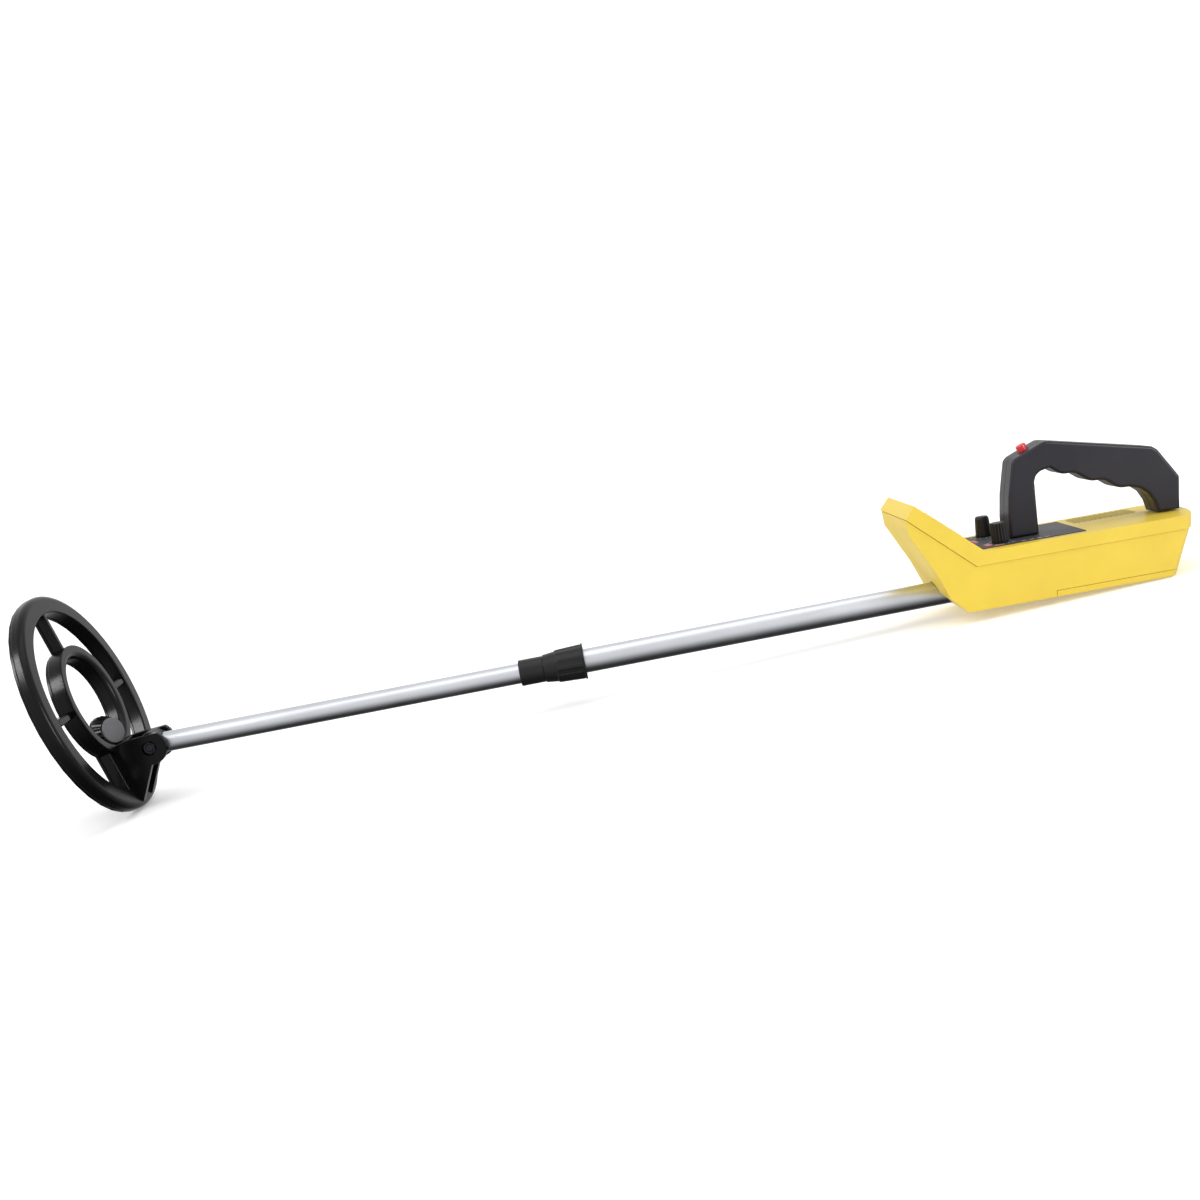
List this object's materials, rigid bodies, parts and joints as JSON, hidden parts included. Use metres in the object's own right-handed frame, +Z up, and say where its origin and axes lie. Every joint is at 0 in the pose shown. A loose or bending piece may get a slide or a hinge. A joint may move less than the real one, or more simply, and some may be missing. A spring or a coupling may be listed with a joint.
{
  "type": "metal detector",
  "caption": "Hand-held metal detector: sloped control box with D-handle, telescopic pole with twist-lock collar and tilting round search coil.",
  "frame": {"origin": "middle of the footprint on the surface the detector lies on, under the middle of the object's box", "axes": "+X from the search coil towards the control housing, +Y to the right of the person holding it, +Z up; it lies on the coil's rim and on the rear lower edge of the battery door"},
  "size_m": [0.8942, 0.183, 0.1787],
  "materials": {
    "yellow_plastic": "satin moulded ABS",
    "grip_plastic": "satin moulded ABS",
    "coil_plastic": "glossy moulded ABS",
    "black_plastic": "satin moulded nylon",
    "grey_plastic": "satin moulded nylon",
    "label_film": "printed polycarbonate film",
    "red_plastic": "glossy moulded ABS",
    "tube_aluminium": "satin anodised, drawn along the tube",
    "zinc_steel": "zinc plated",
    "black_steel": "black zinc plated",
    "rubber_black": "moulded rubber",
    "copper_wire": "enamelled copper wire",
    "clear_window": "clear acrylic",
    "dial_card": "printed card",
    "board_green": "solder-masked laminate",
    "speaker_metal": "pressed basket with paper cone",
    "battery_case": "printed battery can"
  },
  "bodies": {
    "control_housing": {"housing_lid": "yellow_plastic", "housing_base": "yellow_plastic", "control_label": "label_film", "tuning_pot": "zinc_steel", "tuning_pot_nut": "zinc_steel", "sensitivity_pot": "zinc_steel", "sensitivity_pot_nut": "zinc_steel", "meter_frame": "yellow_plastic", "meter_glass": "clear_window", "meter_can": "black_plastic", "meter_dial": "dial_card", "handle_right_half": "grip_plastic", "handle_left_half": "grip_plastic", "push_switch": "black_plastic", "handle_screw_1": "zinc_steel", "handle_screw_2": "zinc_steel", "circuit_board": "board_green", "pole_clamp": "black_plastic", "speaker": "speaker_metal", "battery_1": "battery_case", "battery_2": "battery_case", "battery_snap_1": "black_plastic", "battery_snap_2": "black_plastic", "housing_screw_1": "zinc_steel", "housing_screw_2": "zinc_steel", "housing_screw_3": "zinc_steel", "housing_screw_4": "zinc_steel", "upper_tube": "tube_aluminium", "collet_sleeve": "black_plastic"},
    "twist_collar": {"lock_collar": "black_plastic"},
    "lower_pole": {"lower_tube": "tube_aluminium", "lower_tube_bush": "black_plastic", "tube_end_lug": "black_plastic"},
    "search_coil": {"coil_top_shell": "coil_plastic", "coil_bottom_cover": "coil_plastic", "transmit_winding": "copper_wire", "receive_winding": "copper_wire", "cable_gland": "grey_plastic", "tilt_bolt": "black_steel", "tilt_nut": "black_steel", "tilt_washer_1": "rubber_black", "tilt_washer_2": "rubber_black"},
    "tuning_control": {"tuning_knob": "black_plastic"},
    "sensitivity_control": {"sensitivity_knob": "black_plastic"},
    "pinpoint_button": {"red_button": "red_plastic"},
    "battery_hatch": {"battery_door": "yellow_plastic"},
    "meter_pointer": {"meter_needle": "red_plastic"}
  },
  "joints": [
    {"name": "collar_twist", "type": "hinge", "parent": "control_housing", "child": "twist_collar", "pos_m": [-0.05171, 0, 0.03289], "axis": [0.9992, 0, -0.0405], "range_deg": [0, 90]},
    {"name": "pole_slide", "type": "slide", "parent": "control_housing", "child": "lower_pole", "axis": [0.9992, 0, -0.0405], "range_m": [0, 0.255]},
    {"name": "coil_tilt", "type": "hinge", "parent": "lower_pole", "child": "search_coil", "pos_m": [-0.38043, 0, 0.0462], "axis": [0, 1, 0], "range_deg": [-73, 50]},
    {"name": "tuning_turn", "type": "hinge", "parent": "control_housing", "child": "tuning_control", "pos_m": [0.29843, 0.0248, 0.0581], "axis": [0.0527, 0, 0.9986], "range_deg": [-140, 140]},
    {"name": "sensitivity_turn", "type": "hinge", "parent": "control_housing", "child": "sensitivity_control", "pos_m": [0.29843, -0.0177, 0.0581], "axis": [0.0527, 0, 0.9986], "range_deg": [-140, 140]},
    {"name": "button_press", "type": "slide", "parent": "control_housing", "child": "pinpoint_button", "axis": [0.3162, 0, -0.9487], "range_m": [0, 0.0024], "stiffness_N_per_m": 800, "springref_m": -0.0006},
    {"name": "battery_door_slide", "type": "slide", "parent": "control_housing", "child": "battery_hatch", "axis": [0.9986, 0, -0.0527], "range_m": [0, 0.1]},
    {"name": "needle_swing", "type": "hinge", "parent": "control_housing", "child": "meter_pointer", "pos_m": [0.25828, 0, 0.06572], "axis": [0.7035, 0, 0.7107], "range_deg": [-38, 38], "stiffness_Nm_per_rad": 0.0001}
  ]
}
